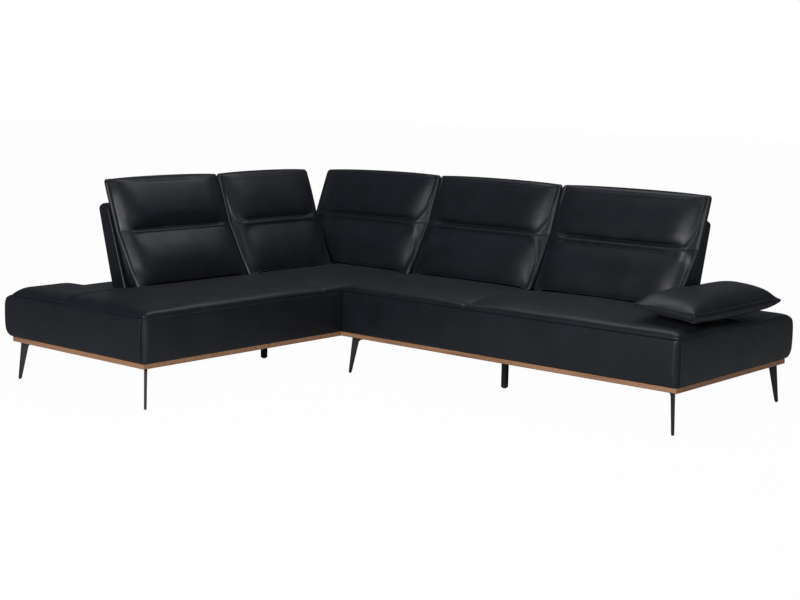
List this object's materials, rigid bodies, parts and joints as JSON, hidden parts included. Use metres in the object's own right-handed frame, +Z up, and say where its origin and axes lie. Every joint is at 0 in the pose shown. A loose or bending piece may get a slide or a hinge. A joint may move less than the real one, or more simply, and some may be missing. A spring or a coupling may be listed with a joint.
{
  "type": "corner sofa",
  "caption": "Low corner sofa in black leather with sliding back units, a tilting armrest pad, a thin wooden trim line and slim blade legs.",
  "frame": {"origin": "centre of the footprint of the whole outline, on the floor", "axes": "+Z up; the long wing runs along +X with its back towards +Y, and the other wing runs from its left end towards -Y with its back towards -X"},
  "size_m": [2.955, 2.293, 0.951],
  "materials": {
    "leather": "smooth semi-gloss black leather",
    "oak_trim": "satin oiled light walnut",
    "frame_timber": "sawn and planed softwood",
    "dust_cloth": "thin black non-woven cloth",
    "webbing": "woven elastic webbing",
    "black_metal": "matte black powder coat",
    "fitting_steel": "dull zinc-plated steel",
    "glide_plastic": "matte black plastic"
  },
  "bodies": {
    "platform": {"armrest_cross_rail": "frame_timber", "armrest_hinge_plates": "fitting_steel", "back_guide_rails": "fitting_steel", "corner_blocks": "frame_timber", "corner_rear_border": "leather", "corner_rear_leg": "black_metal", "corner_rear_rail": "frame_timber", "corner_seat": "leather", "floor_glides": "glide_plastic", "inner_corner_leg": "black_metal", "joint_rear_leg": "black_metal", "left_cross_rail": "frame_timber", "left_dust_cover": "dust_cloth", "left_end_border": "leather", "left_end_rail": "frame_timber", "left_end_trim": "oak_trim", "left_front_border": "leather", "left_front_leg": "black_metal", "left_front_rail": "frame_timber", "left_front_trim": "oak_trim", "left_post": "black_metal", "left_rear_border": "leather", "left_rear_leg": "black_metal", "left_rear_rail": "frame_timber", "left_seat": "leather", "middle_seat": "leather", "module_connectors": "fitting_steel", "right_cross_rail": "frame_timber", "right_dust_cover": "dust_cloth", "right_end_border": "leather", "right_end_rail": "frame_timber", "right_end_trim": "oak_trim", "right_front_border": "leather", "right_front_leg": "black_metal", "right_front_rail": "frame_timber", "right_front_trim": "oak_trim", "right_joint_rail": "frame_timber", "right_post": "black_metal", "right_rear_border": "leather", "right_rear_leg": "black_metal", "right_rear_rail": "frame_timber", "right_seat": "leather", "seat_webbing": "webbing"},
    "left_back": {"left_back_brackets": "fitting_steel", "left_back_cushion": "leather", "left_back_panel": "leather"},
    "inner_back": {"inner_back_brackets": "fitting_steel", "inner_back_cushion": "leather", "inner_back_panel": "leather"},
    "corner_back": {"corner_back_brackets": "fitting_steel", "corner_back_cushion": "leather", "corner_back_panel": "leather"},
    "middle_back": {"middle_back_brackets": "fitting_steel", "middle_back_cushion": "leather", "middle_back_panel": "leather"},
    "right_back": {"right_back_brackets": "fitting_steel", "right_back_cushion": "leather", "right_back_panel": "leather"},
    "armrest": {"armrest_hinge_arms": "fitting_steel", "armrest_pad": "leather"}
  },
  "joints": [
    {"name": "left_back_slide", "type": "slide", "parent": "platform", "child": "left_back", "axis": [-1, 0, 0], "range_m": [0, 0.2]},
    {"name": "inner_back_slide", "type": "slide", "parent": "platform", "child": "inner_back", "axis": [-1, 0, 0], "range_m": [0, 0.2]},
    {"name": "corner_back_slide", "type": "slide", "parent": "platform", "child": "corner_back", "axis": [0, 1, 0], "range_m": [0, 0.2]},
    {"name": "middle_back_slide", "type": "slide", "parent": "platform", "child": "middle_back", "axis": [0, 1, 0], "range_m": [0, 0.2]},
    {"name": "right_back_slide", "type": "slide", "parent": "platform", "child": "right_back", "axis": [0, 1, 0], "range_m": [0, 0.2]},
    {"name": "armrest_tilt", "type": "hinge", "parent": "platform", "child": "armrest", "pos_m": [1.1795, 0.6315, 0.5], "axis": [0, -1, 0], "range_deg": [0, 45]}
  ]
}
